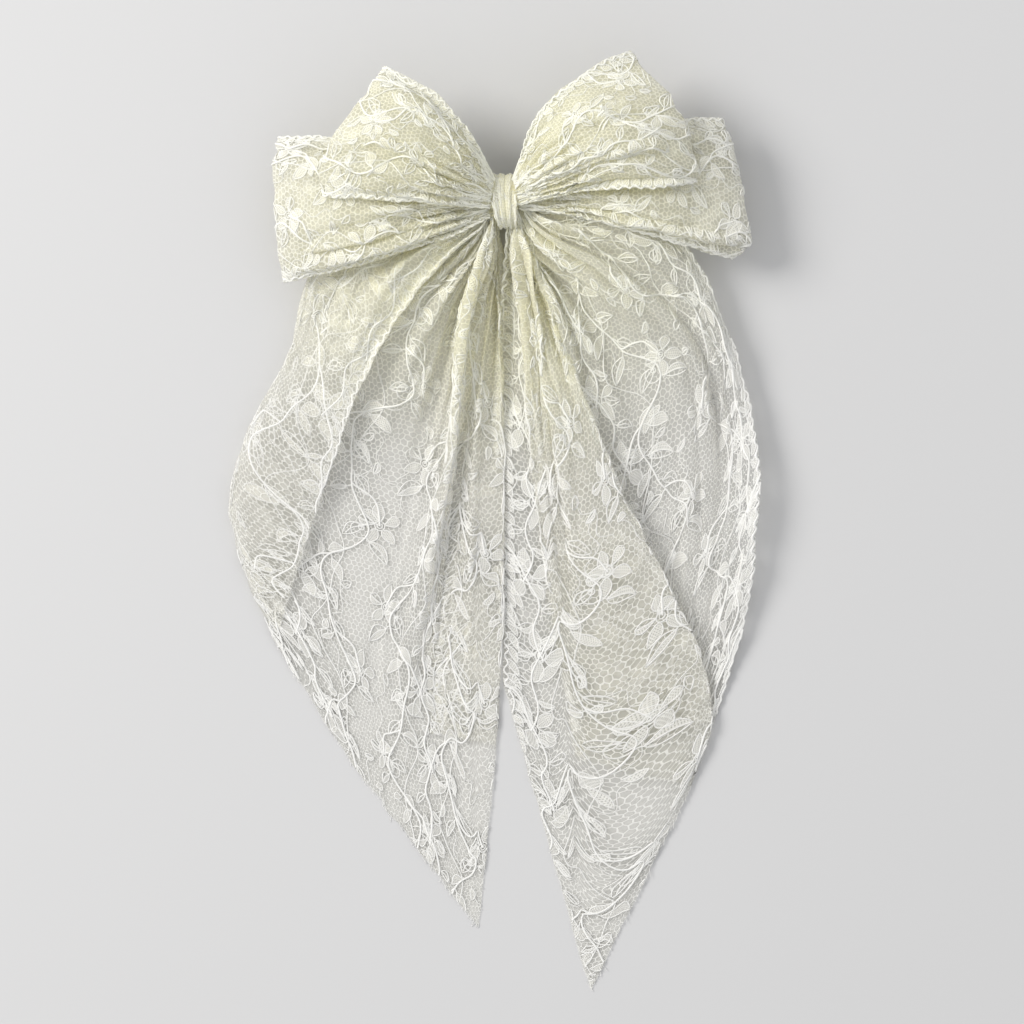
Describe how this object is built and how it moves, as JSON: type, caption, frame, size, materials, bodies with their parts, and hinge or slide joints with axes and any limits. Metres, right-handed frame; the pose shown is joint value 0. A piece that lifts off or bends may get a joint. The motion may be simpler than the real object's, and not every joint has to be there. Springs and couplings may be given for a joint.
{
  "type": "hair bow",
  "caption": "Double bow of floral lace with two long pointed tails and a wrapped middle, on a hinged spring barrette.",
  "frame": {"origin": "middle of the gap between the barrette's plate and its arm, straight under the knot", "axes": "+X along the barrette to the catch, +Y to the top of the bow with the tails falling to -Y, +Z out of the bow's front"},
  "size_m": [0.1785, 0.3165, 0.0372],
  "materials": {
    "loop_lace": "cream floral lace, several plies deep, matt with a faint sheen on the cord outlines",
    "tail_lace": "cream floral lace on hexagonal net, one or two plies, see-through between the motifs",
    "band_lace": "folded cream lace, ribbed by its tight folds",
    "thread": "twisted cream polyester thread",
    "set_glue": "set hot-melt glue, cloudy and slightly glossy",
    "plate_steel": "nickel-plated pressed steel, satin",
    "spring_steel": "spring steel, satin",
    "pin_steel": "bright steel wire and rivets"
  },
  "bodies": {
    "bow": {"front_loop_left": "loop_lace", "front_loop_right": "loop_lace", "back_loop_left": "loop_lace", "back_loop_right": "loop_lace", "tail_left": "tail_lace", "tail_right": "tail_lace", "knot_band": "band_lace", "gather_thread": "thread", "glue_pad": "set_glue", "barrette_plate": "plate_steel", "hinge_pin": "pin_steel", "leaf_rivet": "pin_steel", "catch_seat": "plate_steel", "catch_rivet": "pin_steel"},
    "locking_arm": {"barrette_arm": "plate_steel"},
    "leaf": {"tension_leaf": "spring_steel"},
    "upper_wing": {"catch_wing_upper": "spring_steel"},
    "lower_wing": {"catch_wing_lower": "spring_steel"}
  },
  "joints": [
    {"name": "arm_hinge", "type": "hinge", "parent": "bow", "child": "locking_arm", "pos_m": [-0.0382, 0, -0.0044], "axis": [0, 1, 0], "range_deg": [0, 80]},
    {"name": "leaf_flex", "type": "hinge", "parent": "bow", "child": "leaf", "pos_m": [-0.0265, 0, 0.00335], "axis": [0, -1, 0], "range_deg": [0, 1.3], "stiffness_Nm_per_rad": 0.05},
    {"name": "upper_pinch", "type": "hinge", "parent": "bow", "child": "upper_wing", "pos_m": [0.0386, 0.0019, 0.001], "axis": [-1, 0, 0], "range_deg": [0, 5], "stiffness_Nm_per_rad": 0.005},
    {"name": "lower_pinch", "type": "hinge", "parent": "bow", "child": "lower_wing", "pos_m": [0.0386, -0.0019, 0.001], "axis": [1, 0, 0], "range_deg": [0, 5], "stiffness_Nm_per_rad": 0.005}
  ],
  "couplings": [
    {"joint": "lower_pinch", "follows": "upper_pinch", "ratio": 1}
  ]
}
